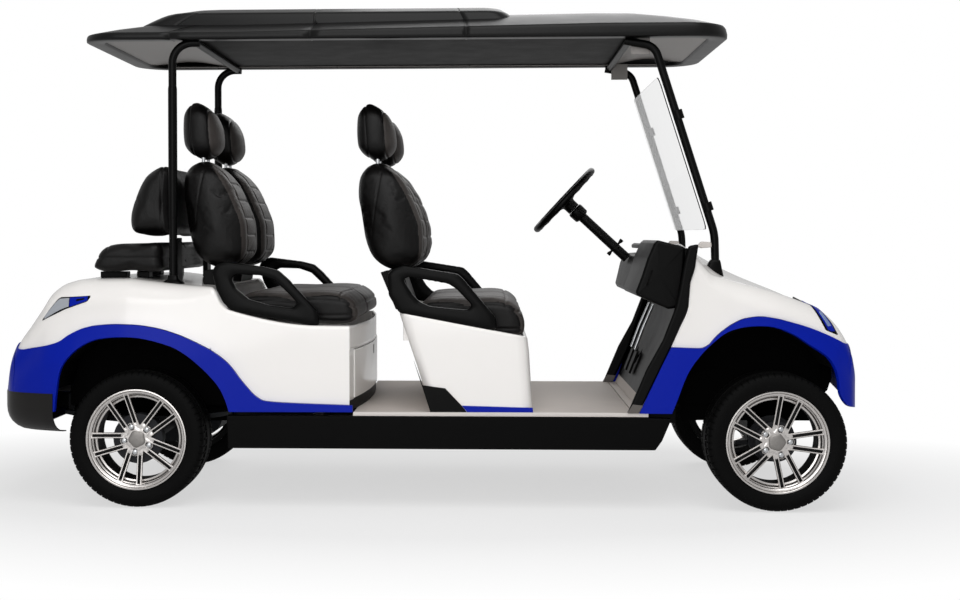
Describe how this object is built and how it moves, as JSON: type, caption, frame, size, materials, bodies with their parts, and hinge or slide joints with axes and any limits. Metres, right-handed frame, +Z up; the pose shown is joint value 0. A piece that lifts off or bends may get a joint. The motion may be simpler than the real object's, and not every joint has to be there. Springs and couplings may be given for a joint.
{
  "type": "golf cart",
  "caption": "Long electric golf cart with two forward seat rows, a rear-facing bench, a full roof, an upright windshield and alloy wheels.",
  "frame": {"origin": "on the ground under the middle of the overall length and width", "axes": "+X forward, +Y to the driver's left side, +Z up"},
  "size_m": [3.29, 1.2646, 1.95],
  "materials": {
    "frame_black": "satin",
    "cast_dark": "rough",
    "spring_steel": "satin",
    "battery": "matte",
    "black_plastic": "satin",
    "floor_mat": "matte",
    "white_paint": "gloss",
    "blue_paint": "gloss",
    "lamp_lens": "gloss",
    "leather": "satin",
    "black_roof": "satin",
    "clear_glass": "gloss",
    "soft_black": "matte",
    "tyre_rubber": "matte",
    "alloy": "satin"
  },
  "bodies": {
    "chassis": {"frame": "frame_black", "front_axle": "frame_black", "rear_axle": "cast_dark", "rear_springs": "spring_steel", "battery_pack": "battery", "sills": "black_plastic", "floor_pan": "floor_mat", "rear_body": "white_paint", "side_cladding": "blue_paint", "rear_bumper": "black_plastic", "tail_lamps": "lamp_lens", "hood": "white_paint", "front_cladding": "blue_paint", "headlamps": "lamp_lens", "cowl_trims": "black_plastic", "dash": "black_plastic", "pedals": "frame_black", "wheel_liners": "black_plastic", "seat_base": "white_paint", "seat_base_trim": "black_plastic", "front_backs": "leather", "second_backs": "leather", "seat_supports": "frame_black", "armrests": "black_plastic", "bench_cushion": "leather", "bench_back": "leather", "roof": "black_roof", "front_struts": "frame_black", "rear_struts": "frame_black", "windshield": "clear_glass", "steering_column": "black_plastic"},
    "steering_wheel": {"steering_wheel": "soft_black"},
    "knuckle_left": {"knuckle_left": "cast_dark"},
    "knuckle_right": {"knuckle_right": "cast_dark"},
    "front_cushion": {"front_cushion": "leather"},
    "second_cushion": {"second_cushion": "leather"},
    "storage_door": {"storage_door": "white_paint"},
    "wheel_rear_left": {"tyre_rear_left": "tyre_rubber", "rim_rear_left": "alloy"},
    "wheel_rear_right": {"tyre_rear_right": "tyre_rubber", "rim_rear_right": "alloy"},
    "wheel_front_left": {"tyre_front_left": "tyre_rubber", "rim_front_left": "alloy"},
    "wheel_front_right": {"tyre_front_right": "tyre_rubber", "rim_front_right": "alloy"}
  },
  "joints": [
    {"name": "steer_left", "type": "hinge", "parent": "chassis", "child": "knuckle_left", "pos_m": [1.327, 0.44, 0.26], "axis": [0, 0, 1], "range_deg": [-25, 25]},
    {"name": "steer_right", "type": "hinge", "parent": "chassis", "child": "knuckle_right", "pos_m": [1.327, -0.44, 0.26], "axis": [0, 0, 1], "range_deg": [-25, 25]},
    {"name": "steering_wheel_turn", "type": "hinge", "parent": "chassis", "child": "steering_wheel", "pos_m": [0.578, 0.27, 1.187], "axis": [-0.7314, 0, 0.682], "range_deg": [-375, 375]},
    {"name": "wheel_rear_left_spin", "type": "hinge", "parent": "chassis", "child": "wheel_rear_left", "pos_m": [-1.087, 0.5175, 0.26], "axis": [0, 1, 0], "continuous": true},
    {"name": "wheel_rear_right_spin", "type": "hinge", "parent": "chassis", "child": "wheel_rear_right", "pos_m": [-1.087, -0.5175, 0.26], "axis": [0, 1, 0], "continuous": true},
    {"name": "wheel_front_left_spin", "type": "hinge", "parent": "knuckle_left", "child": "wheel_front_left", "pos_m": [1.327, 0.5175, 0.26], "axis": [0, 1, 0], "continuous": true},
    {"name": "wheel_front_right_spin", "type": "hinge", "parent": "knuckle_right", "child": "wheel_front_right", "pos_m": [1.327, -0.5175, 0.26], "axis": [0, 1, 0], "continuous": true},
    {"name": "front_cushion_lift", "type": "hinge", "parent": "chassis", "child": "front_cushion", "pos_m": [0.392, 0, 0.6403], "axis": [0, 1, 0], "range_deg": [0, 60]},
    {"name": "second_cushion_lift", "type": "hinge", "parent": "chassis", "child": "second_cushion", "pos_m": [-0.222, 0, 0.6903], "axis": [0, 1, 0], "range_deg": [0, 35]},
    {"name": "storage_door_swing", "type": "hinge", "parent": "chassis", "child": "storage_door", "pos_m": [-0.221, 0, 0.41], "axis": [0, 1, 0], "range_deg": [0, 85]}
  ],
  "couplings": [
    {"joint": "steer_right", "follows": "steer_left", "ratio": 1},
    {"joint": "steering_wheel_turn", "follows": "steer_left", "ratio": 15}
  ]
}
